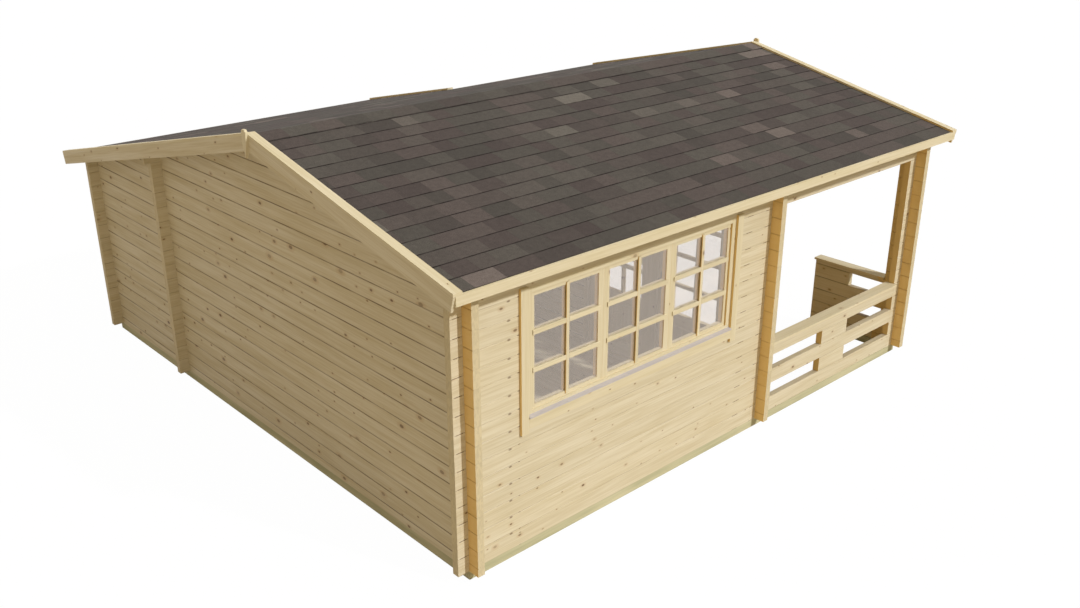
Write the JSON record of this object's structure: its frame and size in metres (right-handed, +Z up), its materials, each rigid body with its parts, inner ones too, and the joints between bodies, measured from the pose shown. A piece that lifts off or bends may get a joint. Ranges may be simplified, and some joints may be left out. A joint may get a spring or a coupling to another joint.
{
  "type": "log cabin",
  "caption": "Timber log cabin with a glazed room, a covered corner porch with slotted railings, and a lean-to bay behind.",
  "frame": {"origin": "middle of the roof's footprint, on the ground under the foundation beams", "axes": "+X along the ridge from the room towards the porch, +Y from the window wall towards the back bay, +Z up"},
  "size_m": [5.908, 6.142, 2.7807],
  "materials": {
    "logs": "planed, unpainted",
    "trim": "planed, unpainted",
    "boards": "planed, unpainted",
    "green_wood": "pressure treated",
    "shingle": "mineral granules",
    "sill": "painted",
    "glass": "clear",
    "metal": "satin"
  },
  "bodies": {
    "cabin": {"foundation_beams": "green_wood", "floor_boards": "logs", "front_wall_lower": "logs", "front_wall_left": "logs", "front_wall_right": "logs", "front_wall_top": "logs", "left_gable_wall": "logs", "partition_front": "logs", "partition_back": "logs", "partition_top": "logs", "cross_beam": "logs", "cross_stubs": "logs", "back_wall": "logs", "porch_gable": "logs", "post_logs_x": "logs", "post_logs_y": "logs", "porch_rail_front": "logs", "porch_rail_back": "logs", "end_rails": "logs", "handrails": "trim", "purlins": "boards", "roof_boards_near": "boards", "roof_boards_far": "boards", "roof_boards_bay": "boards", "shingles_near": "shingle", "shingles_far": "shingle", "fascias": "trim", "bargeboards": "trim", "bargeboard_caps": "trim", "finials": "trim", "window_frame": "trim", "window_sashes": "trim", "window_glass": "glass", "window_trim": "trim", "window_sill": "sill", "door_frame": "trim", "door_trim": "trim", "hinges_frame": "metal"},
    "leaf_a": {"door_leaf_a": "trim", "door_glass_a": "glass", "door_handle": "metal", "hinges_a": "metal"},
    "leaf_b": {"door_leaf_b": "trim", "door_glass_b": "glass", "hinges_b": "metal"}
  },
  "joints": [
    {"name": "leaf_a_hinge", "type": "hinge", "parent": "cabin", "child": "leaf_a", "pos_m": [0.512, -2.552, 1], "axis": [0, 0, -1], "range_deg": [0, 90]},
    {"name": "leaf_b_hinge", "type": "hinge", "parent": "cabin", "child": "leaf_b", "pos_m": [0.512, -0.82, 1], "axis": [0, 0, 1], "range_deg": [0, 90]}
  ]
}
